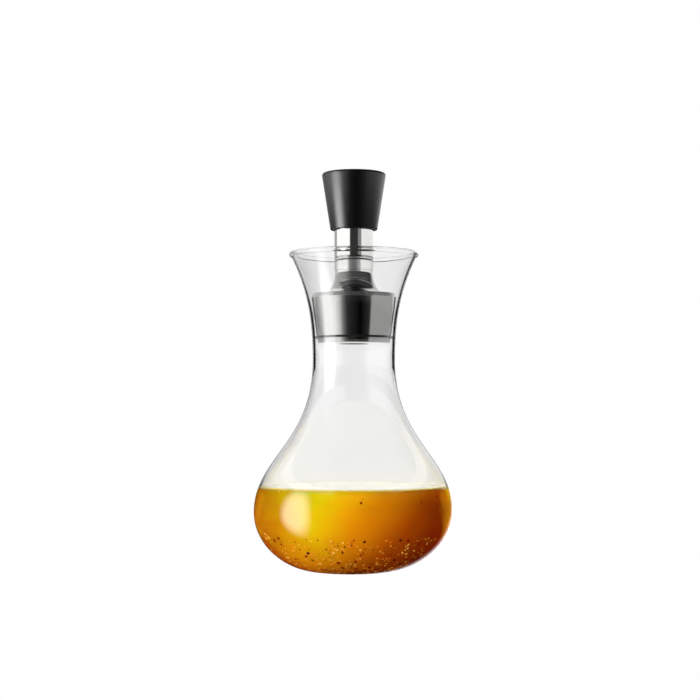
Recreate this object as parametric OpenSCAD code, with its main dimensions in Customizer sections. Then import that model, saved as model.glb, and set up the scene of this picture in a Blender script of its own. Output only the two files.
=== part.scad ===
// Salad dressing shaker: a blown glass carafe with a flared mouth, a steel pourer that
// seats in its neck, and a tapered stopper that closes the pourer's spout.
// Millimetres, +Z up. The origin is the centre of the foot, on the table.

/* [Glass carafe] */
// Largest outside diameter of the bulb
bulb_d = 100.2; // [92:0.1:110]
// Height of the bulb's widest ring above the table
bulb_z = 29.2; // [26:0.1:33]
// Diameter of the flat foot
foot_d = 39; // [35:0.5:46]
// Diameter of the shallow hollow under the foot
punt_d = 32; // [26:0.5:34]
// Depth of the hollow under the foot
punt_h = 1.2; // [0.6:0.1:2]
// Outside diameter of the neck at its narrowest ring
neck_d = 41.3; // [40:0.1:46]
// Height of the neck's narrowest ring
neck_z = 105.2; // [98:0.1:110]
// Outside diameter of the flared mouth
rim_d = 65.2; // [61:0.1:70]
// Height of the rim
rim_z = 159.6; // [155:0.1:165]
// Lean of the wall at the rim, in degrees from upright
rim_lean = 25.8; // [19:0.1:29]
// Diameter of the melted bead round the rim
rim_bead_d = 2.6; // [2.3:0.1:3.2]
// Thickness of the glass wall
glass_wall = 1.2; // [1:0.1:1.6]
// Thickness of the glass floor at the foot
glass_floor = 2.4; // [2:0.1:3.5]
// How far the heel runs out before it turns up
heel_out = 14.3; // [11:0.1:17]
// How far the heel's curve reaches down from the widest ring
heel_up = 16.7; // [14:0.1:19]
// How far the bulb's curve reaches up from the widest ring
shoulder_up = 26.9; // [23:0.1:31]
// How far the neck's curve reaches down from the narrowest ring
neck_down = 42; // [37:0.1:45]
// How far the neck's curve reaches up from the narrowest ring
neck_up = 21.7; // [19:0.1:25]
// How far the flare's curve reaches down from the rim
flare_down = 17.3; // [14:0.1:21]

/* [Dressing] */
// Height of the dressing's surface above the table
fill_z = 42.2; // [32:0.1:48]
// Clearance between the dressing and the glass
dressing_gap = 0.05; // [0.03:0.01:0.1]

/* [Pourer] */
// Height of the collar's foot above the neck's narrowest ring
seat_rise = 11.8; // [10:0.1:15]
// Height of the collar's tapered side
collar_h = 19.6; // [17:0.1:22]
// Height of the bevel round the collar's top
bevel_h = 2; // [1.2:0.1:2.6]
// How far the bevel leans in
bevel_in = 0.7; // [0.4:0.1:1.2]
// Thickness of the collar's sheet
collar_wall = 0.6; // [0.5:0.05:0.9]
// Clearance between the collar's foot and the glass
collar_foot_gap = 1.1; // [1:0.05:1.4]
// Least clearance between the collar's side and the glass
collar_side_gap = 0.8; // [0.6:0.05:0.95]
// Height of the funnel from the deck to its top edge
funnel_h = 11.6; // [10:0.1:14]
// Radius at which the funnel's flare runs out onto the deck
flare_foot_r = 16.5; // [15:0.1:17.5]
// Thickness of the funnel's sheet
funnel_wall = 0.5; // [0.4:0.05:0.7]
// Diameter of the bore that the dressing runs through
flow_bore_d = 15; // [13:0.1:15.6]
// How far the core's neck stands up inside the spout
core_lap = 7.5; // [6:0.1:9]

/* [Spout] */
// Outside diameter of the spout tube
spout_d = 19.6; // [19:0.1:20.2]
// Wall of the spout tube
spout_wall = 0.8; // [0.6:0.05:1]
// Length of the spout tube
spout_len = 29.4; // [27:0.1:33]
// How far the drip lip stands out from the tube
lip_out = 0.2; // [0.1:0.05:0.3]
// Height of the drip lip
lip_h = 1.2; // [0.8:0.1:1.6]

/* [Neck seal] */
// Thickness of the neck seal
seal_t = 1; // [0.8:0.05:1.6]
// Radius of the hole in the neck seal
seal_hole_r = 13; // [12.5:0.1:14]
// Clearance between the neck seal's lip and the glass
seal_gap = 0.15; // [0.1:0.05:0.25]

/* [Base dish] */
// Depth of the dish that clamps the neck seal
dish_h = 2.7; // [2.2:0.1:3.4]
// How far the dish's edge stays inside the collar's foot
dish_inset = 0.5; // [0.3:0.1:0.8]
// Width of the rounded shoulder of the dish
dish_round = 4.5; // [3.5:0.1:5]
// Thickness of the dish's sheet
dish_wall = 0.8; // [0.6:0.05:1]
// Wall of the dish's sleeve
sleeve_wall = 1.6; // [1.2:0.1:1.8]
// Length of the sleeve that is pressed into the core
sleeve_len = 11; // [8:0.5:14]

/* [Stopper] */
// Diameter of the knob at its top
knob_top_d = 32.6; // [31:0.1:36]
// Diameter of the knob at its foot
knob_foot_d = 23.6; // [23.2:0.1:25]
// Height of the knob
knob_h = 29; // [26:0.1:33]
// Rise of the knob's crowned top
knob_crown = 0.1; // [0.1:0.1:1]
// Rounding of the knob's upper edge
knob_top_round = 1.3; // [0.8:0.1:2]
// Rounding of the knob's lower edge
knob_foot_round = 0.7; // [0.4:0.1:0.7]
// How far the knob reaches down over the spout
knob_lap = 9; // [8:0.1:10.5]
// Thickness of the knob's roof
knob_roof = 3; // [2:0.1:4.5]
// Clearance between the knob's skirt and the spout
skirt_gap = 0.5; // [0.4:0.05:0.7]
// Height by which the stopper's shoulder clears the spout's lip
rest_gap = 0.2; // [0.15:0.05:0.3]
// Radius of the stopper core's head
head_r = 11.2; // [10.9:0.1:11.4]
// Clearance between the plug's stem and the spout
stem_gap = 0.9; // [0.6:0.1:1.2]
// Gap between the plug's end and the core's neck
plug_gap = 2; // [1.5:0.1:3]
// Chamfer round the plug's end
plug_chamfer = 1; // [0.5:0.1:1.5]
// Height of the plug's end below its seal
plug_end_h = 3.5; // [2.5:0.1:4.5]

/* [Stopper seal] */
// Height of the stopper seal
ring_h = 5; // [4:0.1:6]
// Depth of the groove that holds the stopper seal
groove_depth = 1.4; // [1:0.1:1.8]
// Depth of the waist between the seal's two lips
waist_depth = 0.7; // [0.4:0.05:0.9]
// Clearance between the stopper seal and the spout
ring_gap = 0.12; // [0.08:0.01:0.2]

/* [Fits] */
// Clearance between pressed pieces
press_gap = 0.05; // [0.03:0.01:0.08]

/* [Hidden] */
$fn = 96;

// Segments along each curve of the glass, round a rounded corner, and along a short curve
curve_steps = 28;
corner_steps = 6;
short_steps = 10;

// Colours
clear_glass = [0.86, 0.9, 0.9, 0.35];
amber_dressing = [0.86, 0.55, 0.05];
polished_steel = [0.75, 0.75, 0.76];
pale_plastic = [0.8, 0.8, 0.78];
black_rubber = [0.06, 0.06, 0.06];

// Heights and radii that several pieces share
foot_r = foot_d / 2;
bulb_r = bulb_d / 2;
neck_r = neck_d / 2;
bead_r = rim_bead_d / 2;
spout_r = spout_d / 2;
spout_in_r = spout_r - spout_wall;
bore_r = flow_bore_d / 2;
seat_z = neck_z + seat_rise;
cone_top_z = seat_z + collar_h;
deck_z = cone_top_z + bevel_h;
funnel_top_z = deck_z + funnel_h;
core_top_z = funnel_top_z + core_lap;
spout_top_z = funnel_top_z + spout_len;
seal_z = seat_z - seal_t;
knob_z = spout_top_z - knob_lap;
knob_top_z = knob_z + knob_h;
shoulder_z = spout_top_z + rest_gap;
head_top_z = knob_top_z - knob_roof;

// A point on the curve that four control points give, at t from 0 to 1
function bezier(c, t) =
    pow(1 - t, 3) * c[0] + 3 * pow(1 - t, 2) * t * c[1]
    + 3 * (1 - t) * t * t * c[2] + pow(t, 3) * c[3];

// The unit normal on the right of the curve's direction of travel
function bezier_normal(c, t) =
    let (s = pow(1 - t, 2) * (c[1] - c[0]) + 2 * (1 - t) * t * (c[2] - c[1]) + t * t * (c[3] - c[2]))
    [s[1], -s[0]] / norm(s);

// Points from one angle to another on a circle
function arc(centre, r, from, to, steps) =
    [for (k = [0:steps]) let (a = from + (to - from) * k / steps) centre + r * [cos(a), sin(a)]];

function reverse(list) = [for (k = [len(list) - 1:-1:0]) list[k]];
function between_ends(list) = [for (k = [1:len(list) - 2]) list[k]];

// An outline whose corners [x, y, radius] are rounded by arcs
function rounded(corners) = [
    for (k = [0:len(corners) - 1])
        let (
            n = len(corners),
            here = corners[k],
            p = [here[0], here[1]],
            before = corners[(k + n - 1) % n],
            after = corners[(k + 1) % n],
            u = ([before[0], before[1]] - p) / norm([before[0], before[1]] - p),
            v = ([after[0], after[1]] - p) / norm([after[0], after[1]] - p),
            half = acos(u * v) / 2,
            centre = p + (u + v) / norm(u + v) * here[2] / sin(half),
            start = p + u * here[2] / tan(half) - centre,
            end = p + v * here[2] / tan(half) - centre,
            from = atan2(start[1], start[0]),
            turn = atan2(start[0] * end[1] - start[1] * end[0], start * end)
        )
        each here[2] == 0 ? [p] : arc(centre, here[2], from, from + turn, corner_steps)
];

// A piece turned about the axis from its half section
module turned(outline) {
    rotate_extrude() polygon(outline);
}

// The bead of the rim stands out alike on both faces of the wall that it closes
bead_centre = [rim_d / 2 - bead_r, rim_z - bead_r];
bead_wrap = acos(glass_wall / 2 / bead_r);
rim_side = [cos(rim_lean), -sin(rim_lean)];
rim_rise = [sin(rim_lean), cos(rim_lean)];
flare_end = bead_centre + bead_r * (cos(bead_wrap) * rim_side - sin(bead_wrap) * rim_rise);

// Glass wall, from the foot up to the bead
widest = [bulb_r, bulb_z];
narrowest = [neck_r, neck_z];
heel = [[foot_r, 0], [foot_r + heel_out, 0], widest - [0, heel_up], widest];
shoulder = [widest, widest + [0, shoulder_up], narrowest - [0, neck_down], narrowest];
flare = [narrowest, narrowest + [0, neck_up], flare_end - flare_down * rim_rise, flare_end];

// The wall thins from the floor's thickness to its own as it rises round the heel
function heel_wall(t) = glass_floor + (glass_wall - glass_floor) * t * t * (3 - 2 * t);

function steps(first) = [for (k = [first:curve_steps]) k / curve_steps];
outer_curve = [
    for (t = steps(0)) bezier(heel, t),
    for (t = steps(1)) bezier(shoulder, t),
    for (t = steps(1)) bezier(flare, t)
];

// The inside of the wall, moved further in by extra
function inner_curve(extra) = [
    for (t = steps(0)) bezier(heel, t) - (heel_wall(t) + extra) * bezier_normal(heel, t),
    for (t = steps(1)) bezier(shoulder, t) - (glass_wall + extra) * bezier_normal(shoulder, t),
    for (t = steps(1)) bezier(flare, t) - (glass_wall + extra) * bezier_normal(flare, t)
];

// The floor's upper face, which rises over the punt, moved up by extra
function floor_curve(extra) = [
    for (k = [0:short_steps - 1])
        let (share = k / short_steps)
        [foot_r * share, glass_floor + extra + punt_h * pow(1 - share * share, 2)]
];

inner_table = [for (p = inner_curve(0)) [p[1], p[0]]];
function glass_inner_r(z) = lookup(z, inner_table);

module glass_carafe() {
    punt = [
        for (k = [0:short_steps])
            let (share = k / short_steps)
            [punt_d / 2 * share, punt_h * (1 - share * share)]
    ];
    bead = arc(bead_centre, bead_r, -rim_lean - bead_wrap, 180 - rim_lean + bead_wrap, 2 * short_steps);
    color(clear_glass) turned(concat(
        punt, outer_curve, between_ends(bead), reverse(inner_curve(0)), reverse(floor_curve(0))
    ));
}

module dressing() {
    side = [for (p = inner_curve(dressing_gap)) if (p[1] < fill_z) p];
    surface = [[glass_inner_r(fill_z) - dressing_gap, fill_z], [0, fill_z]];
    color(amber_dressing) turned(concat(floor_curve(dressing_gap), side, surface));
}

// The collar is the widest straight taper that keeps its clearance to the flared glass
collar_foot_r = glass_inner_r(seat_z) - collar_foot_gap;
collar_slope = min([
    for (k = [1:short_steps])
        let (z = seat_z + collar_h * k / short_steps)
        (glass_inner_r(z) - collar_side_gap - collar_foot_r) / (z - seat_z)
]);
collar_top_r = collar_foot_r + collar_slope * collar_h;
deck_r = collar_top_r - bevel_in;

// The collar's side, moved in by inset: foot, top of the taper, top of the bevel
function collar_side(inset) = [
    [collar_foot_r - inset, seat_z],
    [collar_top_r - inset, cone_top_z],
    [deck_r - inset, deck_z]
];

module collar() {
    color(polished_steel) turned(concat(collar_side(0), reverse(collar_side(collar_wall))));
}

// The funnel's flare, from the deck up to its top edge
funnel_neck_r = spout_in_r + funnel_wall;
funnel_flare = [
    [flare_foot_r, deck_z],
    [funnel_neck_r + (flare_foot_r - funnel_neck_r) / 3, deck_z + funnel_h / 12],
    [funnel_neck_r, deck_z + funnel_h / 2.4],
    [funnel_neck_r, funnel_top_z]
];
function funnel_curve(inset) = [
    for (k = [0:short_steps])
        let (t = k / short_steps)
        bezier(funnel_flare, t) - inset * bezier_normal(funnel_flare, t)
];

module funnel() {
    edge_r = deck_r - collar_wall - press_gap;
    color(polished_steel) turned(concat(
        [[edge_r, deck_z - funnel_wall], [edge_r, deck_z]],
        funnel_curve(0),
        reverse(funnel_curve(funnel_wall))
    ));
}

// The moulded core carries the collar, the funnel and the spout on it
sleeve_r = bore_r + sleeve_wall;
module collar_core() {
    inset = collar_wall + press_gap;
    side = collar_side(inset);
    under = funnel_wall + press_gap;
    boss_r = seal_hole_r - press_gap;
    recess_r = sleeve_r + press_gap;
    neck_out_r = spout_in_r - press_gap;
    neck_from_z = funnel_top_z - press_gap;
    flare_under = [for (p = funnel_curve(under)) if (p[0] > neck_out_r && p[1] < neck_from_z) p];
    color(pale_plastic) turned(concat(
        [[recess_r, seal_z], [boss_r, seal_z], [boss_r, seat_z], side[0], side[1]],
        [[deck_r - inset, deck_z - under]],
        flare_under,
        [[neck_out_r, flare_under[len(flare_under) - 1][1]]],
        [[neck_out_r, core_top_z], [bore_r, core_top_z]],
        [[bore_r, seal_z + sleeve_len], [recess_r, seal_z + sleeve_len]]
    ));
}

module neck_seal() {
    lip_r = seal_t / 2;
    outer_r = glass_inner_r(seal_z + lip_r) - seal_gap;
    color(black_rubber) rotate_extrude() {
        translate([seal_hole_r, seal_z]) square([outer_r - lip_r - seal_hole_r, seal_t]);
        translate([outer_r - lip_r, seal_z + lip_r]) circle(r = lip_r);
    }
}

module base_dish() {
    edge_r = collar_foot_r - dish_inset;
    low_z = seal_z - dish_h;
    // The rounded shoulder of the dish, moved in by inset
    function round_side(inset) = [
        for (k = [0:short_steps])
            let (a = 90 * k / short_steps)
            [
                edge_r - dish_round + (dish_round - inset) * sin(a),
                seal_z - (dish_h - inset) * cos(a)
            ]
    ];
    color(polished_steel) turned(concat(
        [[bore_r, seal_z + sleeve_len], [bore_r, low_z]],
        round_side(0),
        reverse(round_side(dish_wall)),
        [[sleeve_r, low_z + dish_wall], [sleeve_r, seal_z + sleeve_len]]
    ));
}

module spout_tube() {
    lip_r = spout_r + lip_out;
    color(polished_steel) turned(rounded([
        [spout_in_r, funnel_top_z, 0],
        [spout_r, funnel_top_z, 0],
        [spout_r, spout_top_z - lip_h, 0],
        [lip_r, spout_top_z - lip_h / 3, 0],
        [lip_r, spout_top_z, spout_wall / 3],
        [spout_in_r, spout_top_z, spout_wall / 3]
    ]));
}

module stopper_knob() {
    skirt_r = spout_r + skirt_gap;
    cavity_r = head_r + press_gap;
    ledge_z = shoulder_z - press_gap;
    roof_z = head_top_z + press_gap;
    color(black_rubber) turned(rounded([
        [skirt_r, knob_z, 0],
        [knob_foot_d / 2, knob_z, knob_foot_round],
        [knob_top_d / 2, knob_top_z - knob_crown, knob_top_round],
        [0, knob_top_z, 0],
        [0, roof_z, 0],
        [cavity_r, roof_z, 0],
        [cavity_r, ledge_z, 0],
        [skirt_r, ledge_z, 0]
    ]));
}

// The plug's stem, its end and the groove for its seal
stem_r = spout_in_r - stem_gap;
plug_z = core_top_z + plug_gap;
groove_z = plug_z + plug_end_h;
groove_r = stem_r - groove_depth;

module stopper_core() {
    groove_top_z = groove_z + ring_h + 2 * press_gap;
    color(pale_plastic) turned([
        [0, plug_z],
        [stem_r - plug_chamfer, plug_z],
        [stem_r, plug_z + plug_chamfer],
        [stem_r, groove_z],
        [groove_r, groove_z],
        [groove_r, groove_top_z],
        [stem_r, groove_top_z],
        [stem_r, shoulder_z],
        [head_r, shoulder_z],
        [head_r, head_top_z],
        [0, head_top_z]
    ]);
}

module stopper_seal() {
    in_r = groove_r + press_gap;
    out_r = spout_in_r - ring_gap;
    low_z = groove_z + press_gap;
    land_h = ring_h / 3;
    land_round = ring_h / 8;
    color(black_rubber) turned(rounded([
        [in_r, low_z, 0],
        [out_r, low_z, land_round],
        [out_r, low_z + land_h, land_round],
        [out_r - waist_depth, low_z + land_h, 0],
        [out_r - waist_depth, low_z + ring_h - land_h, 0],
        [out_r, low_z + ring_h - land_h, land_round],
        [out_r, low_z + ring_h, land_round],
        [in_r, low_z + ring_h, 0]
    ]));
}

glass_carafe();
dressing();
collar();
funnel();
collar_core();
neck_seal();
base_dish();
spout_tube();
stopper_knob();
stopper_core();
stopper_seal();
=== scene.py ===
from math import acos, cos, pi, radians, sin, tan
from random import Random

import bpy
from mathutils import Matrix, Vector


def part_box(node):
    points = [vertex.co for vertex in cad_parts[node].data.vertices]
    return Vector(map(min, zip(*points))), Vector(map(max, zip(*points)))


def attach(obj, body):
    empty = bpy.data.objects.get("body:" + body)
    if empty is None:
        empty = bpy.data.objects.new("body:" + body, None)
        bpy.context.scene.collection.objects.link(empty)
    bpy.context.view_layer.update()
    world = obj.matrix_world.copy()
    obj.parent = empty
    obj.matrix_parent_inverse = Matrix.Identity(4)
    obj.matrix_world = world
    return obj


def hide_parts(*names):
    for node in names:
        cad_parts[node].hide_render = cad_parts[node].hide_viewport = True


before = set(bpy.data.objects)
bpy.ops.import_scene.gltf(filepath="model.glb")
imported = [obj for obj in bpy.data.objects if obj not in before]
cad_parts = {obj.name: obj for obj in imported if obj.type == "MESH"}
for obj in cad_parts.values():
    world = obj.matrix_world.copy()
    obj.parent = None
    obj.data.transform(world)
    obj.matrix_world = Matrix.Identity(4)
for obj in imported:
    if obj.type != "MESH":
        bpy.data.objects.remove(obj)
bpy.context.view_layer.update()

# Glass carafe
# One bubble of clear glass, blown in a mould, with its rim melted into a round bead.
# The wall is even, a little thicker at the heel, and the foot is pushed in by a shallow punt.
MM = 0.001
GLASS_WALL = 1.2
GLASS_FLOOR = 2.4
FOOT_R = 19.5
PUNT_R = 16.0
PUNT_H = 1.2
BULB_R = 50.1
BULB_Z = 29.2
NECK_R = 20.65
NECK_Z = 105.2
RIM_R = 32.6
RIM_Z = 159.6
RIM_LEAN = radians(25.8)
BEAD_R = 1.3
CURVE_STEPS = 44
BEAD_STEPS = 24
FLOOR_STEPS = 12

widest = Vector((BULB_R, BULB_Z))
narrowest = Vector((NECK_R, NECK_Z))
rim_side = Vector((cos(RIM_LEAN), -sin(RIM_LEAN)))
rim_rise = Vector((sin(RIM_LEAN), cos(RIM_LEAN)))
bead_centre = Vector((RIM_R - BEAD_R, RIM_Z - BEAD_R))
bead_wrap = acos(GLASS_WALL / 2 / BEAD_R)
flare_end = bead_centre + BEAD_R * (cos(bead_wrap) * rim_side - sin(bead_wrap) * rim_rise)
heel = [Vector((FOOT_R, 0)), Vector((FOOT_R + 14.3, 0)), widest - Vector((0, 16.7)), widest]
shoulder = [widest, widest + Vector((0, 26.9)), narrowest - Vector((0, 42)), narrowest]
flare = [narrowest, narrowest + Vector((0, 21.7)), flare_end - 17.3 * rim_rise, flare_end]


def bezier(c, t):
    return (1 - t) ** 3 * c[0] + 3 * (1 - t) ** 2 * t * c[1] + 3 * (1 - t) * t * t * c[2] + t ** 3 * c[3]


def normal(c, t):
    """The unit normal on the right of the curve's direction of travel."""
    s = (1 - t) ** 2 * (c[1] - c[0]) + 2 * (1 - t) * t * (c[2] - c[1]) + t * t * (c[3] - c[2])
    return Vector((s.y, -s.x)).normalized()


def arc(centre, radius, start, end, steps):
    angles = [start + (end - start) * k / steps for k in range(steps + 1)]
    return [Vector((centre.x + radius * cos(a), centre.y + radius * sin(a))) for a in angles]


def wall_curve(depth):
    """The carafe's wall from foot to rim: depth 0 is its outside, 1 its inside, and past 1 is inside the bottle."""
    points = []
    for curve in (heel, shoulder, flare):
        for k in range(CURVE_STEPS + 1):
            t = k / CURVE_STEPS
            ease = t * t * (3 - 2 * t)
            thick = GLASS_FLOOR + (GLASS_WALL - GLASS_FLOOR) * ease if curve is heel else GLASS_WALL
            if k or curve is heel:
                points.append(bezier(curve, t) - depth * thick * normal(curve, t))
    return points


def floor_curve(rise):
    shares = [k / FLOOR_STEPS for k in range(FLOOR_STEPS)]
    return [Vector((FOOT_R * s, GLASS_FLOOR + rise + PUNT_H * (1 - s * s) ** 2)) for s in shares]


def wire(tree, source, output, target, socket):
    tree.links.new(source.outputs[output], target.inputs[socket])


def lathe_tree():
    """A tree that turns a row of points in the XZ plane about Z into a closed piece."""
    tree = bpy.data.node_groups.new("lathe", "GeometryNodeTree")
    face = tree.interface
    face.new_socket("Outline", in_out="INPUT", socket_type="NodeSocketGeometry")
    face.new_socket("Sides", in_out="INPUT", socket_type="NodeSocketInt")
    face.new_socket("Finish", in_out="INPUT", socket_type="NodeSocketMaterial")
    face.new_socket("Piece", in_out="OUTPUT", socket_type="NodeSocketGeometry")
    add = tree.nodes.new
    given, result = add("NodeGroupInput"), add("NodeGroupOutput")
    size, grid, index = add("GeometryNodeAttributeDomainSize"), add("GeometryNodeMeshGrid"), add("GeometryNodeInputIndex")
    wire(tree, given, "Outline", size, "Geometry")
    wire(tree, size, "Point Count", grid, "Vertices X")

    def sum_of(operation, a, b=None):
        node = add("ShaderNodeMath")
        node.operation = operation
        for slot, value in enumerate((a, b)):
            if isinstance(value, (int, float)):
                node.inputs[slot].default_value = value
            elif value is not None:
                tree.links.new(value, node.inputs[slot])
        return node.outputs[0]

    columns = sum_of("ADD", given.outputs["Sides"], 1)
    tree.links.new(columns, grid.inputs["Vertices Y"])
    row = sum_of("FLOOR", sum_of("DIVIDE", index.outputs[0], columns))
    column = sum_of("MODULO", index.outputs[0], columns)
    turn = sum_of("MULTIPLY", column, sum_of("DIVIDE", 2 * pi, given.outputs["Sides"]))
    place, sample, rotate = add("GeometryNodeInputPosition"), add("GeometryNodeSampleIndex"), add("ShaderNodeVectorRotate")
    sample.data_type = "FLOAT_VECTOR"
    rotate.rotation_type = "Z_AXIS"
    wire(tree, given, "Outline", sample, "Geometry")
    wire(tree, place, "Position", sample, "Value")
    tree.links.new(row, sample.inputs["Index"])
    wire(tree, sample, "Value", rotate, "Vector")
    tree.links.new(turn, rotate.inputs["Angle"])
    move, flip, merge = add("GeometryNodeSetPosition"), add("GeometryNodeFlipFaces"), add("GeometryNodeMergeByDistance")
    smooth, real, paint = add("GeometryNodeSetShadeSmooth"), add("GeometryNodeRealizeInstances"), add("GeometryNodeSetMaterial")
    merge.inputs["Distance"].default_value = 1e-7
    wire(tree, grid, "Mesh", move, "Geometry")
    wire(tree, rotate, "Vector", move, "Position")
    wire(tree, move, "Geometry", flip, "Mesh")
    wire(tree, flip, "Mesh", merge, "Geometry")
    wire(tree, merge, "Geometry", smooth, "Geometry")
    wire(tree, smooth, "Geometry", real, "Geometry")
    wire(tree, real, "Geometry", paint, "Geometry")
    wire(tree, given, "Finish", paint, "Material")
    wire(tree, paint, "Geometry", result, "Piece")
    return tree


def grown(obj, tree, values):
    """obj after the tree has made its mesh plain, with values for the tree's named inputs."""
    growth = obj.modifiers.new(tree.name, "NODES")
    growth.node_group = tree
    for item in tree.interface.items_tree:
        if item.in_out == "INPUT" and item.name in values:
            growth[item.identifier] = values[item.name]
    plain = bpy.data.meshes.new_from_object(obj.evaluated_get(bpy.context.evaluated_depsgraph_get()))
    obj.modifiers.clear()
    obj.data = plain
    return obj


LATHE = lathe_tree()
CORNER = radians(32)


def turned(name, outline, finish, sides=160):
    """A piece turned from its half section, a closed row of points, in mm, that runs anticlockwise."""
    mesh = bpy.data.meshes.new(name)
    closed = outline + outline[:1]
    mesh.from_pydata([(p[0] * MM, 0, p[1] * MM) for p in closed], [], [])
    obj = bpy.data.objects.new(name, mesh)
    bpy.context.scene.collection.objects.link(obj)
    grown(obj, LATHE, {"Sides": sides, "Finish": finish})
    obj.data.set_sharp_from_angle(angle=CORNER)
    return obj


def new_finish(name, sockets):
    """A material whose Principled shader has these values on its own sockets, and that shader."""
    finish = bpy.data.materials.new(name)
    finish.use_nodes = True
    shader = finish.node_tree.nodes["Principled BSDF"]
    for socket, value in sockets.items():
        shader.inputs[socket].default_value = value
    return finish, shader


def mottled(finish, shader, scale, colours=None, roughness=None, bump=0.0, stretch=(1, 1, 1)):
    """Varies the finish by noise: its colour and roughness between two values, and its height in metres."""
    tree = finish.node_tree
    place, squeeze, noise = (
        tree.nodes.new("ShaderNodeTexCoord"), tree.nodes.new("ShaderNodeMapping"), tree.nodes.new("ShaderNodeTexNoise"),
    )
    squeeze.inputs["Scale"].default_value = stretch
    noise.inputs["Scale"].default_value = scale
    noise.inputs["Detail"].default_value = 4
    wire(tree, place, "Object", squeeze, "Vector")
    wire(tree, squeeze, "Vector", noise, "Vector")
    if colours:
        hue = tree.nodes.new("ShaderNodeValToRGB")
        for stop, position, colour in zip(hue.color_ramp.elements, (0.35, 0.65), colours):
            stop.position = position
            stop.color = (*colour, 1)
        wire(tree, noise, "Fac", hue, "Fac")
        wire(tree, hue, "Color", shader, "Base Color")
    if roughness:
        level = tree.nodes.new("ShaderNodeMapRange")
        level.inputs["From Min"].default_value, level.inputs["From Max"].default_value = 0.3, 0.7
        level.inputs["To Min"].default_value, level.inputs["To Max"].default_value = roughness
        wire(tree, noise, "Fac", level, "Value")
        wire(tree, level, "Result", shader, "Roughness")
    if bump:
        relief = tree.nodes.new("ShaderNodeBump")
        relief.inputs["Distance"].default_value = bump
        wire(tree, noise, "Fac", relief, "Height")
        wire(tree, relief, "Normal", shader, "Normal")


# Clear glass bends what is behind it. Lamps and the dressing's own light pass straight through.
glass, glass_shader = new_finish("clear_glass", {
    "Roughness": 0.0,
    "IOR": 1.49,
    "Transmission Weight": 1.0,
})
mottled(glass, glass_shader, 25, colours=((0.985, 0.985, 0.987), (0.996, 0.996, 0.996)))
nodes = glass.node_tree.nodes
path, either, through, blend = (
    nodes.new("ShaderNodeLightPath"), nodes.new("ShaderNodeMath"),
    nodes.new("ShaderNodeBsdfTransparent"), nodes.new("ShaderNodeMixShader"),
)
either.operation = "MAXIMUM"
through.inputs["Color"].default_value = (0.925, 0.925, 0.925, 1)
wire(glass.node_tree, path, "Is Shadow Ray", either, 0)
wire(glass.node_tree, path, "Is Diffuse Ray", either, 1)
wire(glass.node_tree, either, 0, blend, 0)
wire(glass.node_tree, glass_shader, "BSDF", blend, 1)
wire(glass.node_tree, through, "BSDF", blend, 2)
wire(glass.node_tree, blend, 0, nodes["Material Output"], "Surface")

punt = [Vector((PUNT_R * k / FLOOR_STEPS, PUNT_H * (1 - (k / FLOOR_STEPS) ** 2))) for k in range(FLOOR_STEPS + 1)]
bead = arc(bead_centre, BEAD_R, -RIM_LEAN - bead_wrap, pi - RIM_LEAN + bead_wrap, BEAD_STEPS)[1:-1]
carafe = turned(
    "blown_carafe", punt + wall_curve(0) + bead + wall_curve(1)[::-1] + floor_curve(0)[::-1], glass, sides=192
)
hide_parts("glass_carafe")
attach(carafe, "bottle")

# Dressing
# A cloudy golden emulsion of oil and vinegar. It wets the glass, so it has no gap to it,
# and it creeps a little up the wall at its edge.
FILL_Z = 42.2
CREEP_UP = 0.7
CREEP_OUT = 2.2
WETTING = 0.94
SURFACE_STEPS = 16
FILM = 0.4

dressing_finish, dressing_shader = new_finish("golden_dressing", {
    "Roughness": 0.5,
    "Specular IOR Level": 0.0,
    "Subsurface Weight": 1.0,
    "Subsurface Scale": 0.02,
    "Subsurface Radius": (1.0, 0.32, 0.04),
})
# Painted light and shade: the colour is yellow round a spot on the front left, where the key lamp's
# light falls, and browns away from it and towards the bottom, fastest where both come together. A
# swirl of noise bends it. Left of the spot it is multiplied darker, a painted shade, both side edges
# are mixed towards gold, a painted rim light, and behind one even tone takes the place of all this.
PAINTED_LIGHT_SPOT = (-0.020, -0.0442)
PAINTED_LIGHT_REACH = 0.085
PAINTED_LIGHT_LIFT = -0.07
SWIRL_WARP = 0.012
BROWNING = 4.5
CROSS_BROWNING = 170
# Painted shade: left of the lit spot the colour is multiplied darker.
PAINTED_SHADE_X = (-0.004, -0.036)
PAINTED_SHADE_TONE = (0.61, 0.71, 1, 1)
# Painted rim light: the right edge is mixed towards gold.
PAINTED_RIGHT_RIM_X = (0.0422, 0.0465)
PAINTED_RIGHT_RIM_TONE = (0.95, 0.42, 0.01, 1)
# Painted rim light: the left edge is mixed towards gold.
PAINTED_LEFT_RIM_X = (-0.043, -0.050)
PAINTED_LEFT_RIM_TONE = (0.80, 0.36, 0.01, 1)
# Behind the bottle one even tone takes the place of the painted light and shade.
BACK_Y = (0.005, 0.03)
BACK_TONE = (0.62, 0.26, 0.003, 1)
# Painted glow: emission strengths near the top and low on the left.
LIT_DEPTH = 0.007
LIT_GLOW = 0.25
FOOT_DEPTH = (0.026, 0.038)
FOOT_GLOW = 0.5
lit_to_shade_colours = (
    (0.0, (0.95, 0.68, 0.003, 1)),
    (0.1, (0.95, 0.56, 0.003, 1)),
    (0.2, (0.88, 0.43, 0.003, 1)),
    (0.33, (0.81, 0.31, 0.002, 1)),
    (0.45, (0.74, 0.24, 0.002, 1)),
    (0.57, (0.65, 0.16, 0.002, 1)),
    (0.7, (0.56, 0.10, 0.0015, 1)),
    (1.0, (0.42, 0.048, 0.001, 1)),
)
tree = dressing_finish.node_tree


def math_node(tree, operation, *values):
    """A math node with these inputs, numbers or sockets, and its output."""
    node = tree.nodes.new("ShaderNodeMath")
    node.operation = operation
    for slot, value in enumerate(values):
        if isinstance(value, (int, float)):
            node.inputs[slot].default_value = value
        else:
            tree.links.new(value, node.inputs[slot])
    return node.outputs[0]


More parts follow.
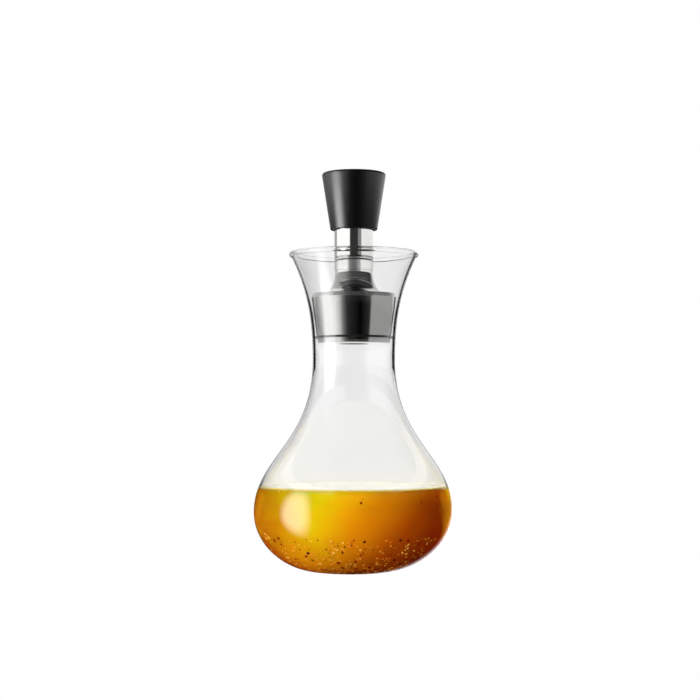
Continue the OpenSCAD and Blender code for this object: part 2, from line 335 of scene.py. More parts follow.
def range_node(tree, value, start, end):
    """0 up to the start and 1 from the end on."""
    node = tree.nodes.new("ShaderNodeMapRange")
    node.inputs["From Min"].default_value, node.inputs["From Max"].default_value = start, end
    tree.links.new(value, node.inputs["Value"])
    return node.outputs["Result"]


def toned(tree, mode, factor, base, colour):
    node = tree.nodes.new("ShaderNodeMix")
    node.data_type = "RGBA"
    node.blend_type = mode
    node.inputs["B"].default_value = colour
    tree.links.new(factor, node.inputs["Factor"])
    tree.links.new(base, node.inputs["A"])
    return node.outputs["Result"]


place, swirl, warp, axes, flat, away, hue = (
    tree.nodes.new("ShaderNodeTexCoord"), tree.nodes.new("ShaderNodeTexNoise"), tree.nodes.new("ShaderNodeVectorMath"),
    tree.nodes.new("ShaderNodeSeparateXYZ"), tree.nodes.new("ShaderNodeVectorMath"),
    tree.nodes.new("ShaderNodeVectorMath"), tree.nodes.new("ShaderNodeValToRGB"),
)
swirl.inputs["Scale"].default_value = 45
swirl.inputs["Detail"].default_value = 3
warp.operation = "MULTIPLY_ADD"
warp.inputs[1].default_value = (SWIRL_WARP, SWIRL_WARP, SWIRL_WARP)
flat.operation = "MULTIPLY"
flat.inputs[1].default_value = (1, 1, 0)
away.operation = "DISTANCE"
away.inputs[1].default_value = (PAINTED_LIGHT_SPOT[0] + SWIRL_WARP / 2, PAINTED_LIGHT_SPOT[1] + SWIRL_WARP / 2, 0)
for k, (position, colour) in enumerate(lit_to_shade_colours):
    stop = hue.color_ramp.elements[k] if k < 2 else hue.color_ramp.elements.new(position)
    stop.position = position
    stop.color = colour
wire(tree, place, "Object", swirl, "Vector")
wire(tree, swirl, "Color", warp, 0)
wire(tree, place, "Object", warp, 2)
wire(tree, warp, 0, axes, 0)
wire(tree, warp, 0, flat, 0)
wire(tree, flat, 0, away, 0)
depth = math_node(tree, "SUBTRACT", (FILL_Z * MM + SWIRL_WARP / 2), axes.outputs["Z"])
browning = math_node(tree, "MULTIPLY_ADD", away.outputs["Value"], CROSS_BROWNING, BROWNING)
share = math_node(tree, "MULTIPLY_ADD", away.outputs["Value"], 1 / PAINTED_LIGHT_REACH, PAINTED_LIGHT_LIFT)
share = math_node(tree, "MULTIPLY_ADD", depth, browning, share)
tree.links.new(share, hue.inputs["Fac"])
painted_shade_side = range_node(tree, axes.outputs["X"], *[x + SWIRL_WARP / 2 for x in PAINTED_SHADE_X])
painted_right_rim = range_node(tree, axes.outputs["X"], *[x + SWIRL_WARP / 2 for x in PAINTED_RIGHT_RIM_X])
painted_left_rim = range_node(tree, axes.outputs["X"], *[x + SWIRL_WARP / 2 for x in PAINTED_LEFT_RIM_X])
painted_shade_colour = toned(tree, "MULTIPLY", painted_shade_side, hue.outputs["Color"], PAINTED_SHADE_TONE)
behind = range_node(tree, axes.outputs["Y"], *[y + SWIRL_WARP / 2 for y in BACK_Y])
golden = toned(tree, "MIX", painted_left_rim, painted_shade_colour, PAINTED_LEFT_RIM_TONE)
golden = toned(tree, "MIX", painted_right_rim, golden, PAINTED_RIGHT_RIM_TONE)
golden = toned(tree, "MIX", behind, golden, BACK_TONE)
tree.links.new(golden, dressing_shader.inputs["Base Color"])
# Painted glow: emission near the top, and low down on the painted shade side, stands in for light that comes in through
# the surface and up from the floor.
lit = math_node(tree, "MULTIPLY", range_node(tree, depth, LIT_DEPTH, 0), LIT_GLOW)
foot_lit = math_node(tree, "MULTIPLY", math_node(tree, "MULTIPLY", range_node(tree, depth, *FOOT_DEPTH), painted_shade_side), FOOT_GLOW)
lit = math_node(tree, "ADD", lit, foot_lit)
tree.links.new(golden, dressing_shader.inputs["Emission Color"])
tree.links.new(lit, dressing_shader.inputs["Emission Strength"])
wetted = [p for p in wall_curve(WETTING) if p.y < FILL_Z + CREEP_UP]
edge = wetted[-1]
surface = []
for k in range(SURFACE_STEPS + 1):
    away = k / SURFACE_STEPS
    surface.append(Vector((edge.x - CREEP_OUT * away, FILL_Z + (edge.y - FILL_Z) * (1 - away) ** 3)))
surface.append(Vector((0, FILL_Z)))
under = [p - Vector((0, FILM)) for p in surface]
pool = turned(
    "dressing_pool", floor_curve(0) + [p for p in wetted if p.y < under[0].y] + under, dressing_finish, sides=192
)
# The oil on top is pale in the middle, where little of it is seen, and deeper near the wall.
oil, oil_shader = new_finish("oil_film", {
    "Roughness": 0.05,
    "IOR": 1.47,
    "Specular IOR Level": 0.2,
})
oil_colours = (
    (0.0, (0.90, 0.89, 0.82, 1)), (0.8, (0.90, 0.89, 0.70, 1)), (0.93, (0.86, 0.80, 0.36, 1)), (1.0, (0.82, 0.62, 0.10, 1)),
)
tree = oil.node_tree
place, flat, reach, share, hue = (
    tree.nodes.new("ShaderNodeTexCoord"), tree.nodes.new("ShaderNodeVectorMath"),
    tree.nodes.new("ShaderNodeVectorMath"), tree.nodes.new("ShaderNodeMath"), tree.nodes.new("ShaderNodeValToRGB"),
)
flat.operation = "MULTIPLY"
flat.inputs[1].default_value = (1, 1, 0)
reach.operation = "LENGTH"
share.operation = "DIVIDE"
share.inputs[1].default_value = edge.x * MM
for k, (position, colour) in enumerate(oil_colours):
    stop = hue.color_ramp.elements[k] if k < 2 else hue.color_ramp.elements.new(position)
    stop.position = position
    stop.color = colour
wire(tree, place, "Object", flat, 0)
wire(tree, flat, 0, reach, 0)
wire(tree, reach, "Value", share, 0)
wire(tree, share, 0, hue, "Fac")
wire(tree, hue, "Color", oil_shader, "Base Color")
film = turned("oil_film", under[::-1] + surface, oil, sides=192)

# Spice
# Crushed chilli, pepper and herb flakes in the dressing. Most have sunk to the bottom, and
# all that can be seen lie against the glass.
FLAKES = 2600
STICK_OUT = 0.12
SPICE_SEED = 11
SPICE_LOW = 2.5
SPICE_HIGH = 19.0
SINKING = 3.4
GOLDEN, PALE, ORANGE, RED, BLACK = 0.2, 0.4, 0.6, 0.8, 0.95
placed_flakes = (
    (4, 36.3, 1.7, RED), (5, 38.1, 1.0, ORANGE), (56, 38.1, 1.5, BLACK), (41.5, 36, 1.1, RED), (-49, 40.6, 1.2, PALE),
    (-1, 40.2, 1.0, GOLDEN), (11.5, 39, 0.9, GOLDEN), (39, 40.5, 0.9, GOLDEN), (43.5, 39.6, 0.9, GOLDEN),
    (11.5, 27.3, 1.2, ORANGE), (14.5, 25.9, 1.2, ORANGE), (-64.5, 20, 1.6, PALE), (-60, 18.6, 1.2, GOLDEN),
    (-22, 20, 1.1, GOLDEN), (-21.5, 18.8, 1.0, BLACK), (-29, 14.3, 1.0, RED), (-9.5, 16.3, 1.4, RED),
    (-6.5, 17.8, 1.4, PALE), (-5.5, 15.9, 1.5, BLACK), (-1.5, 16.4, 1.3, RED), (12, 14.3, 1.1, RED),
    (19, 13.1, 1.2, GOLDEN), (25, 11.6, 1.5, RED), (44, 10.4, 1.6, BLACK), (34, 12.1, 1.2, RED), (38, 13, 1.1, BLACK),
)
chance = Random(SPICE_SEED)
flakes = list(placed_flakes)
for k in range(FLAKES):
    height = SPICE_LOW + (SPICE_HIGH - SPICE_LOW) * chance.random() ** SINKING
    flakes.append((chance.uniform(-180, 180), height, 0.6 + 1.6 * chance.random() ** 2, chance.random()))

spots, facings = [], []
for azimuth, height, length, tone in flakes:
    k = next(i for i, p in enumerate(wetted) if p.y >= height)
    below, above = wetted[k - 1], wetted[k]
    here = below.lerp(above, (height - below.y) / (above.y - below.y))
    out = Vector((above.y - below.y, below.x - above.x)).normalized()
    here += STICK_OUT * out
    across, towards = sin(radians(azimuth)), -cos(radians(azimuth))
    spots.append(Vector((here.x * across, here.x * towards, here.y)) * MM)
    facings += [out.x * across, out.x * towards, out.y]


def flake_tree():
    """A tree that puts an angular flake on every spot, flat against its facing and turned by chance."""
    tree = bpy.data.node_groups.new("flakes", "GeometryNodeTree")
    face = tree.interface
    for name, kind in (("Spots", "Geometry"), ("Thickness", "Float"), ("Tilt", "Float"), ("Seed", "Int"), ("Finish", "Material")):
        face.new_socket(name, in_out="INPUT", socket_type="NodeSocket" + kind)
    face.new_socket("Piece", in_out="OUTPUT", socket_type="NodeSocketGeometry")
    add = tree.nodes.new
    given, result, grain = add("NodeGroupInput"), add("NodeGroupOutput"), add("GeometryNodeMeshIcoSphere")
    length, facing = add("GeometryNodeInputNamedAttribute"), add("GeometryNodeInputNamedAttribute")
    align, spin, euler, twist = (
        add("FunctionNodeAlignRotationToVector"), add("FunctionNodeRandomValue"),
        add("FunctionNodeEulerToRotation"), add("FunctionNodeRotateRotation"),
    )
    least, most, minus = add("ShaderNodeCombineXYZ"), add("ShaderNodeCombineXYZ"), add("ShaderNodeMath")
    ratio, width, size = add("FunctionNodeRandomValue"), add("ShaderNodeMath"), add("ShaderNodeCombineXYZ")
    strew, real, paint = add("GeometryNodeInstanceOnPoints"), add("GeometryNodeRealizeInstances"), add("GeometryNodeSetMaterial")
    grain.inputs["Radius"].default_value = 0.5
    grain.inputs["Subdivisions"].default_value = 1
    length.inputs["Name"].default_value = "length"
    facing.data_type = "FLOAT_VECTOR"
    facing.inputs["Name"].default_value = "facing"
    align.axis = "Z"
    spin.data_type = "FLOAT_VECTOR"
    most.inputs["Z"].default_value = 2 * pi
    minus.operation = width.operation = "MULTIPLY"
    minus.inputs[1].default_value = -1
    ratio.inputs[2].default_value, ratio.inputs[3].default_value = 0.45, 0.95
    twist.rotation_space = "LOCAL"
    wire(tree, given, "Tilt", minus, 0)
    for axis in ("X", "Y"):
        wire(tree, minus, 0, least, axis)
        wire(tree, given, "Tilt", most, axis)
    wire(tree, least, 0, spin, 0)
    wire(tree, most, 0, spin, 1)
    for node in (spin, ratio):
        wire(tree, given, "Seed", node, "Seed")
    wire(tree, facing, "Attribute", align, "Vector")
    wire(tree, spin, 0, euler, 0)
    wire(tree, align, 0, twist, "Rotation")
    wire(tree, euler, 0, twist, "Rotate By")
    wire(tree, length, "Attribute", width, 0)
    wire(tree, ratio, 1, width, 1)
    wire(tree, length, "Attribute", size, "X")
    wire(tree, width, 0, size, "Y")
    wire(tree, given, "Thickness", size, "Z")
    wire(tree, given, "Spots", strew, "Points")
    wire(tree, grain, "Mesh", strew, "Instance")
    wire(tree, twist, 0, strew, "Rotation")
    wire(tree, size, 0, strew, "Scale")
    wire(tree, strew, 0, real, 0)
    wire(tree, real, 0, paint, "Geometry")
    wire(tree, given, "Finish", paint, "Material")
    wire(tree, paint, 0, result, "Piece")
    return tree


# Each flake is one tone of its own, and glows a little by emission, a painted light that keeps flakes in shade bright.
spice_finish, spice_shader = new_finish("crushed_spice", {
    "Roughness": 0.5,
    "Specular IOR Level": 0.0,
    "Emission Strength": 0.2,
})
tree = spice_finish.node_tree
tone, hue = tree.nodes.new("ShaderNodeAttribute"), tree.nodes.new("ShaderNodeValToRGB")
tone.attribute_name = "tone"
hue.color_ramp.interpolation = "CONSTANT"
spice_colours = (
    (0.0, (0.95, 0.40, 0.03, 1)), (0.33, (1.0, 0.56, 0.08, 1)), (0.5, (0.80, 0.22, 0.01, 1)),
    (0.7, (0.22, 0.008, 0.002, 1)), (0.88, (0.05, 0.006, 0.003, 1)),
)
for k, (position, colour) in enumerate(spice_colours):
    stop = hue.color_ramp.elements[k] if k < 2 else hue.color_ramp.elements.new(position)
    stop.position = position
    stop.color = colour
grime, dusty_tone_and_glow = tree.nodes.new("ShaderNodeTexNoise"), tree.nodes.new("ShaderNodeMix")
place = tree.nodes.new("ShaderNodeTexCoord")
grime.inputs["Scale"].default_value = 900
dusty_tone_and_glow.data_type = "RGBA"
dusty_tone_and_glow.blend_type = "MULTIPLY"
dusty_tone_and_glow.inputs["Factor"].default_value = 0.25
wire(tree, tone, "Fac", hue, "Fac")
wire(tree, place, "Object", grime, "Vector")
wire(tree, hue, "Color", dusty_tone_and_glow, "A")
wire(tree, grime, "Fac", dusty_tone_and_glow, "B")
wire(tree, dusty_tone_and_glow, "Result", spice_shader, "Base Color")
wire(tree, dusty_tone_and_glow, "Result", spice_shader, "Emission Color")

spice_mesh = bpy.data.meshes.new("spice_flakes")
spice_mesh.from_pydata(spots, [], [])
for name, kind, field, values in (
    ("length", "FLOAT", "value", [f[2] * MM for f in flakes]),
    ("tone", "FLOAT", "value", [f[3] for f in flakes]),
    ("facing", "FLOAT_VECTOR", "vector", facings),
):
    spice_mesh.attributes.new(name, kind, "POINT").data.foreach_set(field, values)
spice = bpy.data.objects.new("spice_flakes", spice_mesh)
bpy.context.scene.collection.objects.link(spice)
grown(spice, flake_tree(), {"Thickness": 0.3 * MM, "Tilt": 0.4, "Seed": SPICE_SEED, "Finish": spice_finish})
for piece in (pool, film, spice):
    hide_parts("dressing")
    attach(piece, "bottle")

# Pourer
# Four pressed steel pieces on a moulded core: a tapered collar with a bevelled top edge, a
# funnel, the spout tube and the dish that clamps a thin black silicone ring under the collar.
SEAT_Z = 117.0
COLLAR_H = 19.6
COLLAR_TOP_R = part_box("collar")[1].x / MM
DISH_INSET = 0.5
COLLAR_FOOT_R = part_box("base_dish")[1].x / MM + DISH_INSET
BEVEL_H = 2.0
BEVEL_IN = 0.7
SHEET = 0.6
EDGE_R = 0.15
FUNNEL_H = 11.6
FUNNEL_FOOT_R = 16.5
SPOUT_R = 9.8
SPOUT_WALL = 0.8
SPOUT_LEN = 29.4
SEAL_T = 1.0
SEAL_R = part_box("neck_seal")[1].x / MM
BORE_R = 7.5
HOLD = 0.03

steel, steel_shader = new_finish("polished_steel", {"Metallic": 1.0})
mottled(steel, steel_shader, 120, colours=((0.70, 0.695, 0.68), (0.74, 0.735, 0.72)), roughness=(0.05, 0.08), stretch=(1, 1, 14))


def rounded(corners, steps=5):
    """An outline whose corners (r, z, radius) are rounded by arcs. Each straight side has a
    point close to both its ends, so that its shading stays flat."""
    outline = []
    for k, (x, y, radius) in enumerate(corners):
        here = Vector((x, y))
        if not radius:
            outline.append(here)
            continue
        u = (Vector(corners[k - 1][:2]) - here).normalized()
        v = (Vector(corners[(k + 1) % len(corners)][:2]) - here).normalized()
        half = u.angle(v) / 2
        centre = here + (u + v).normalized() * radius / sin(half)
        start = here + u * radius * cos(half) / sin(half) - centre
        sweep = start.angle_signed(here + v * radius * cos(half) / sin(half) - centre)
        for s in range(steps + 1):
            a = -sweep * s / steps
            outline.append(centre + Vector((
                start.x * cos(a) - start.y * sin(a), start.x * sin(a) + start.y * cos(a)
            )))
    held = []
    for here, after in zip(outline, outline[1:] + outline[:1]):
        held.append(here)
        if (after - here).length > 8 * HOLD:
            along = (after - here).normalized() * HOLD
            held += [here + along, after - along]
    return held


cone_top_z = SEAT_Z + COLLAR_H
deck_z = cone_top_z + BEVEL_H
funnel_top_z = deck_z + FUNNEL_H
collar = turned("steel_collar", rounded([
    (COLLAR_FOOT_R - SHEET, SEAT_Z, 0),
    (COLLAR_FOOT_R, SEAT_Z, EDGE_R),
    (COLLAR_TOP_R, cone_top_z, 0.35),
    (COLLAR_TOP_R - BEVEL_IN, deck_z, EDGE_R),
    (COLLAR_TOP_R - BEVEL_IN - SHEET, deck_z, 0),
    (COLLAR_TOP_R - SHEET, cone_top_z, 0),
]), steel)

funnel_neck_r = SPOUT_R - SPOUT_WALL + 0.5
flare_curve = [
    Vector((FUNNEL_FOOT_R, deck_z)),
    Vector((funnel_neck_r + (FUNNEL_FOOT_R - funnel_neck_r) / 3, deck_z + FUNNEL_H / 12)),
    Vector((funnel_neck_r, deck_z + FUNNEL_H / 2.4)),
    Vector((funnel_neck_r, funnel_top_z)),
]
shares = [k / CURVE_STEPS for k in range(CURVE_STEPS + 1)]
funnel = turned("steel_funnel", [
    Vector((COLLAR_TOP_R - BEVEL_IN - SHEET, deck_z - 0.5)),
    Vector((COLLAR_TOP_R - BEVEL_IN - SHEET, deck_z)),
    *[bezier(flare_curve, t) for t in shares],
    *[bezier(flare_curve, t) - 0.5 * normal(flare_curve, t) for t in shares[::-1]],
], steel)

spout_top_z = funnel_top_z + SPOUT_LEN
spout = turned("spout_tube_steel", rounded([
    (SPOUT_R - SPOUT_WALL, funnel_top_z, 0),
    (SPOUT_R, funnel_top_z, 0.12),
    (SPOUT_R, spout_top_z - 1.2, 0),
    (SPOUT_R + 0.2, spout_top_z - 0.4, 0),
    (SPOUT_R + 0.2, spout_top_z, 0.25),
    (SPOUT_R - SPOUT_WALL, spout_top_z, 0.25),
]), steel)

seal_z = SEAT_Z - SEAL_T
silicone, silicone_shader = new_finish("black_silicone", {"Specular IOR Level": 0.25})
mottled(silicone, silicone_shader, 400, colours=((0.010, 0.010, 0.011), (0.015, 0.015, 0.016)), roughness=(0.28, 0.4))
neck_seal = turned("silicone_neck_ring", rounded([
    (13.0, seal_z, 0),
    (SEAL_R, seal_z, 0.42),
    (SEAL_R, SEAT_Z, 0.42),
    (13.0, SEAT_Z, 0),
]), silicone)

dish_edge_r = COLLAR_FOOT_R - DISH_INSET
dish_h = 2.7
dish_round = 4.3
side_foot = Vector((dish_edge_r - 0.23, seal_z - 2.3))
heel_h = dish_h - (seal_z - side_foot.y)
quarter = [radians(90 * k / 16) for k in range(17)]
dish = turned("steel_base_dish", [
    Vector((BORE_R, seal_z + 11)),
    Vector((BORE_R, seal_z - dish_h)),
    *[Vector((side_foot.x - dish_round * (1 - sin(a)), side_foot.y - heel_h * cos(a))) for a in quarter],
    Vector((dish_edge_r, seal_z)),
    Vector((dish_edge_r - 0.8, seal_z)),
    *[Vector((side_foot.x - dish_round + (dish_round - 0.8) * sin(a), side_foot.y - (heel_h - 0.8) * cos(a)))
      for a in quarter[::-1]],
    Vector((BORE_R + 1.6, seal_z - dish_h + 0.8)),
    Vector((BORE_R + 1.6, seal_z + 11)),
], steel)

for piece, node, slot in (
    (collar, "collar", "polished_steel"),
    (funnel, "funnel", "polished_steel"),
    (spout, "spout_tube", "polished_steel"),
    (neck_seal, "neck_seal", "seal_silicone"),
    (dish, "base_dish", "polished_steel"),
):
    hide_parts(node)
    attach(piece, "pourer")

plastic, plastic_shader = new_finish("pale_plastic", {})
mottled(plastic, plastic_shader, 300, colours=((0.70, 0.70, 0.67), (0.74, 0.74, 0.71)), roughness=(0.38, 0.48), bump=2e-6)
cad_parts["collar_core"].data.materials.clear()
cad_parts["collar_core"].data.materials.append(plastic)

# Stopper
# A matte black cone, moulded round a rigid core whose plug goes down into the spout. A ring
# of black silicone with two lips in the plug's groove makes it tight.
KNOB_Z = 170.6
KNOB_H = 29.0
KNOB_FOOT_R = 11.8
KNOB_TOP_R = 16.3
KNOB_CROWN = 0.1

knob_black, knob_shader = new_finish("matte_black_knob", {"IOR": 1.75})
mottled(
    knob_black, knob_shader, 600, colours=((0.0012, 0.0012, 0.0013), (0.0022, 0.0022, 0.0023)),
    roughness=(0.29, 0.34), bump=4e-6,
)
knob_top_z = KNOB_Z + KNOB_H
knob = turned("black_cone_knob", rounded([
    (10.3, KNOB_Z, 0),
    (KNOB_FOOT_R, KNOB_Z, 0.7),
    (KNOB_TOP_R, knob_top_z - KNOB_CROWN, 1.3),
    (0, knob_top_z, 0),
    (0, 196.65, 0),
    (11.25, 196.65, 0),
    (11.25, 179.75, 0),
    (10.3, 179.75, 0),
], steps=8), knob_black)
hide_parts("stopper_knob")
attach(knob, "stopper")
for node, finish in (("stopper_core", plastic), ("stopper_seal", silicone)):
    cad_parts[node].data.materials.clear()
    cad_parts[node].data.materials.append(finish)

# Studio
# A white room for the camera. Round the bottle stand bright and dark cards, which only its
# glass and steel see, and a soft key lamp that lights the dressing from the left.
BOTTLE_MIDDLE = 0.1
FAR = 1.5
FARTHER = 1.6
NEAR = 0.25


def card_point(azimuth, away, height):
    return Vector((away * sin(radians(azimuth)), -away * cos(radians(azimuth)), height))


def level_at(levels, azimuth):
    """The brightness at an azimuth, from pairs of azimuth and brightness in rising order."""
    for (start, low), (end, high) in zip(levels, levels[1:]):
        if azimuth <= end:
            return low + (high - low) * max(0, azimuth - start) / (end - start)
    return levels[-1][1]


def studio_card(name, azimuths, elevations, away, levels, seen_by, soft=0.0):
    """A glowing sheet bent round the bottle between two azimuths, 0 at the camera's side and 90
    on the right, and two elevations. A soft one is oval, and fades over the share soft of it."""
    across, up = max(24, round(azimuths[1] - azimuths[0])), 16
    points, glows = [], []
    for j in range(up + 1):
        v = j / up
        height = BOTTLE_MIDDLE + away * tan(radians(elevations[0] + (elevations[1] - elevations[0]) * v))
        for i in range(across + 1):
            u = i / across
            azimuth = azimuths[0] + (azimuths[1] - azimuths[0]) * u
            points.append(card_point(azimuth, away, height))
            inside = 1 - Vector((2 * u - 1, 2 * v - 1)).length
            glow = min(1, max(0, inside / soft)) if soft else 1
            glows.append(level_at(levels, azimuth) * glow * glow * (3 - 2 * glow))
    faces = [
        (j * (across + 1) + i, j * (across + 1) + i + 1, (j + 1) * (across + 1) + i + 1, (j + 1) * (across + 1) + i)
        for j in range(up) for i in range(across)
    ]
    mesh = bpy.data.meshes.new(name)
    mesh.from_pydata(points, [], faces)
    mesh.attributes.new("glow", "FLOAT", "POINT").data.foreach_set("value", glows)
    card = bpy.data.objects.new(name, mesh)
    bpy.context.scene.collection.objects.link(card)
    mesh.materials.append(card_paper)
    card.visible_camera = False
    card.visible_shadow = False
    card.visible_diffuse = False
    card.visible_glossy = seen_by == "glossy"
    card.visible_transmission = seen_by == "transmission"
    return card


card_paper = bpy.data.materials.new("card_paper")
card_paper.use_nodes = True
tree = card_paper.node_tree
tree.nodes.clear()
share, light, out = (
    tree.nodes.new("ShaderNodeAttribute"), tree.nodes.new("ShaderNodeEmission"), tree.nodes.new("ShaderNodeOutputMaterial"),
)
share.attribute_name = "glow"
wire(tree, share, "Fac", light, "Strength")
wire(tree, light, 0, out, "Surface")

# What the spout above the rim reflects: a low ring, close by, that the bulb doesn't see.
spout_levels = (
    (-178, 0.5), (-119, 0.5), (-117, 1.4), (-26, 1.4), (-21, 0.04), (22, 0.04), (26, 0.3), (43, 0.3), (45, 1.1), (170, 1.1),
)
studio_card("spout_ring", (-178, 170), (16, 27), NEAR, spout_levels, "glossy")

# What glass and knob reflect.
# The light behind is low and close by, so that only the bulb's right edge shows it.
studio_card("softbox", (-95, -45), (-45, 40), FAR, ((0, 7.5), (1, 7.5)), "glossy", 0.6)
studio_card("back_light", (128, 186), (-50, -5), NEAR, ((0, 4.4), (1, 4.4)), "glossy", 0.8)
sky_levels = (
    (-196, 0.9), (-146, 0.95), (-139, 0.54), (-113, 0.47), (-82, 0.17), (-51, 0.16), (-21, 0.07), (8, 0.037),
    (61, 0.05), (132, 0.05), (139, 0.19), (146, 0.6), (161, 0.83), (164, 0.9),
)
studio_card("sky_ring", (-196, 164), (21, 60), FARTHER, sky_levels, "glossy")
horizon_levels = ((148, 0), (158, 0.95), (200, 0.95), (210, 0))
studio_card("horizon", (148, 210), (6, 21), FARTHER, horizon_levels, "glossy")
overhead_levels = (
    (-196, 0.6), (-160, 0.6), (-145, 0.1), (-70, 0.1), (-40, 0.03), (40, 0.012), (125, 0.025), (150, 0.4), (164, 0.5),
)
studio_card("overhead", (-196, 164), (60, 85), FAR, overhead_levels, "glossy")

# What is seen through the glass, or in the steel behind it: rings, one above the other, that
# are white behind the bottle. The lowest serves the collar, the next two the tube and the
# outlines of neck and shoulders, the highest the funnel.
collar_levels = (
    (-196, 0.95), (-164, 0.95), (-163, 0.72), (-143, 0.72), (-139, 0.34), (-122, 0.36), (-116, 0.45), (-108, 0.65),
    (-100, 0.82), (-60, 0.9), (-54, 1.1), (-50, 1.02), (-44, 0.84), (-38, 0.57), (-32, 0.26), (-26, 0.13), (-20, 0.045),
    (-10, 0.02), (18, 0), (30, 0.01), (45, 0.03), (51, 0.42), (130, 0.42), (148, 0.5), (151, 0.1), (163, 0.1), (164, 0.95),
)
tube_levels = (
    (-140, 0), (-136, 0.7), (-128, 0.75), (-110, 1.2), (-100, 1.45), (-42, 1.45), (-36, 1.08), (-30, 0.6),
    (-24, 0.34), (-12, 0.25), (0, 0.21), (12, 0.24), (24, 0.46), (36, 0.61), (42, 1.15), (48, 1.37), (110, 1.2),
    (135, 0.9), (140, 0),
)
neck_levels = ((-196, 0.95), (-163, 0.95), (-162, 0), *tube_levels, (162, 0), (163, 0.95), (164, 0.95))
shoulder_levels = (
    (-196, 0.95), (-180, 0.95), (-172, 0.82), (-166, 0.72), (-162, 0.68), (-141, 0.68), *tube_levels[1:-1],
    (141, 0.95), (164, 0.95),
)
funnel_levels = (
    (-196, 0.95), (-163, 0.95), (-162, 0.8), (-138, 0.72), (-115, 0.55), (-100, 0.5), (-70, 0.42), (-46, 0.31), (-28, 0.17),
    (-14, 0.09), (45, 0.07), (88, 0.07), (99, 0.02), (117, 0.08), (139, 0.6), (141, 0.8), (162, 0.8), (163, 0.95), (164, 0.95),
)
mouth_levels = ((-196, 0.5), (-130, 0.4), (-90, 0.1), (-60, 0.03), (60, 0.02), (120, 0.25), (164, 0.4))
for name, elevations, levels in (
    ("collar_ring", (-55, -1.5), collar_levels),
    ("neck_ring", (-1.5, 3.2), neck_levels),
    ("shoulder_ring", (3.2, 10), shoulder_levels),
    ("funnel_ring", (10, 62), funnel_levels),
    ("mouth_ring", (62, 80), mouth_levels),
):
    studio_card(name, (-196, 164), elevations, FAR, levels, "transmission")

lamps = (
    ("key_lamp", (-0.352, -0.756, 0.2), 0.07, 0.5, 6.5, (1, 1, 1)),
    ("rim_lamp", (0.38, 0.5, 0.06), 0.04, 0.3, 10.0, (1.0, 0.9, 0.33)),
    ("top_lamp", (0.0, 0.45, 0.5), 0.04, 0.3, 7.0, (1, 1, 1)),
)
for name, place, aim_height, size, energy, colour in lamps:
    lamp_data = bpy.data.lights.new(name, "AREA")
    lamp_data.shape = "DISK"
    lamp_data.size = size
    lamp_data.energy = energy
    lamp_data.color = colour
    lamp = bpy.data.objects.new(name, lamp_data)
    lamp.location = place
    lamp.rotation_euler = (Vector((0, 0, aim_height)) - Vector(place)).to_track_quat("-Z", "Y").to_euler()
    lamp.visible_glossy = False
    lamp.visible_transmission = False
    bpy.context.scene.collection.objects.link(lamp)

floor_mesh = bpy.data.meshes.new("floor")
floor_mesh.from_pydata([(-3, -3, 0), (3, -3, 0), (3, 3, 0), (-3, 3, 0)], [], [(0, 1, 2, 3)])
floor = bpy.data.objects.new("floor", floor_mesh)
bpy.context.scene.collection.objects.link(floor)
floor_paint = bpy.data.materials.new("white_floor")
floor_paint.use_nodes = True
nodes = floor_paint.node_tree.nodes
nodes.clear()
path, glow, matt, blend, out = (
    nodes.new("ShaderNodeLightPath"), nodes.new("ShaderNodeEmission"),
    nodes.new("ShaderNodeBsdfDiffuse"), nodes.new("ShaderNodeMixShader"), nodes.new("ShaderNodeOutputMaterial"),
)
where, axes, tint = nodes.new("ShaderNodeTexCoord"), nodes.new("ShaderNodeSeparateXYZ"), nodes.new("ShaderNodeMapRange")
tint.inputs["From Min"].default_value, tint.inputs["From Max"].default_value = -0.05, 0.07
tint.inputs["To Min"].default_value, tint.inputs["To Max"].default_value = 0.95, 0.4
wire(floor_paint.node_tree, where, "Object", axes, 0)
wire(floor_paint.node_tree, axes, "X", tint, "Value")
wire(floor_paint.node_tree, tint, "Result", matt, "Color")
patch, near, both = nodes.new("ShaderNodeEmission"), nodes.new("ShaderNodeVectorMath"), nodes.new("ShaderNodeAddShader")
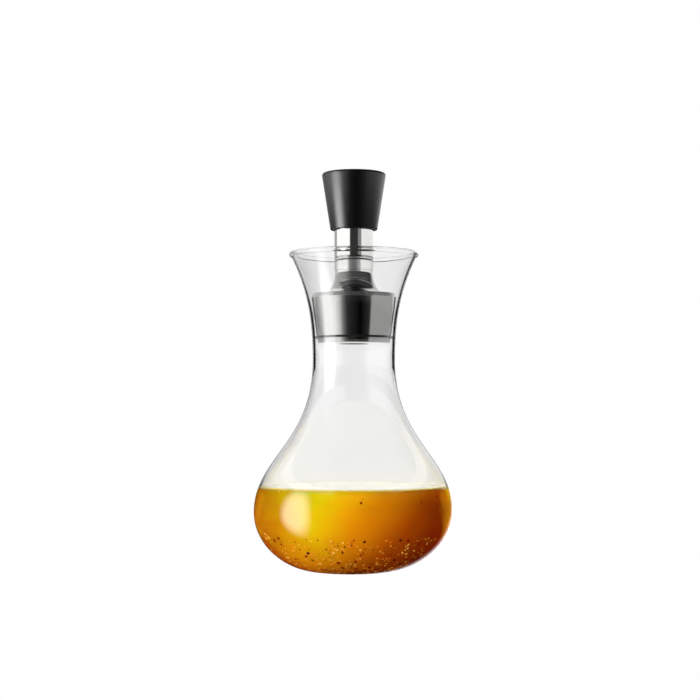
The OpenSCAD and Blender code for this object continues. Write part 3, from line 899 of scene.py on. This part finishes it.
near.operation = "DISTANCE"
near.inputs[1].default_value = (-0.075, 0, 0)
wire(floor_paint.node_tree, where, "Object", near, 0)
patch_glow = range_node(floor_paint.node_tree, near.outputs["Value"], 0.07, 0.02)
floor_paint.node_tree.links.new(math_node(floor_paint.node_tree, "MULTIPLY", patch_glow, 1.2), patch.inputs["Strength"])
wire(floor_paint.node_tree, matt, 0, both, 0)
wire(floor_paint.node_tree, patch, 0, both, 1)
wire(floor_paint.node_tree, path, "Is Camera Ray", blend, 0)
wire(floor_paint.node_tree, both, 0, blend, 1)
wire(floor_paint.node_tree, glow, 0, blend, 2)
wire(floor_paint.node_tree, blend, 0, out, "Surface")
floor_mesh.materials.append(floor_paint)
floor.visible_glossy = False
floor.visible_transmission = False

room = bpy.data.worlds.new("white_room")
room.use_nodes = True
bpy.context.scene.world = room
nodes = room.node_tree.nodes
path, dim = nodes.new("ShaderNodeLightPath"), nodes.new("ShaderNodeMapRange")
dim.inputs["To Min"].default_value = 0.004
wire(room.node_tree, path, "Is Camera Ray", dim, "Value")
wire(room.node_tree, dim, "Result", nodes["Background"], "Strength")
nodes["Background"].inputs["Color"].default_value = (1, 1, 1, 1)

# Camera
# The photograph's view: a long lens a little under the neck's height, tilted slightly up.
LENS_PX = 1592.4
FRAME_PX = 700
CAMERA_AWAY = 0.8
CAMERA_Z = 0.08217
PITCH = radians(2.0075)
AXIS_COLUMN = 353.9
camera_data = bpy.data.cameras.new("camera")
camera_data.lens = camera_data.sensor_width * LENS_PX / FRAME_PX
camera = bpy.data.objects.new("camera", camera_data)
camera.location = (0, -CAMERA_AWAY, CAMERA_Z)
aim = Vector((
    -CAMERA_AWAY * (AXIS_COLUMN - FRAME_PX / 2) / LENS_PX,
    0,
    CAMERA_Z + CAMERA_AWAY * tan(PITCH),
))
camera.rotation_euler = (aim - camera.location).to_track_quat("-Z", "Y").to_euler()
bpy.context.scene.collection.objects.link(camera)
bpy.context.scene.camera = camera
bpy.context.scene.view_settings.view_transform = "Standard"
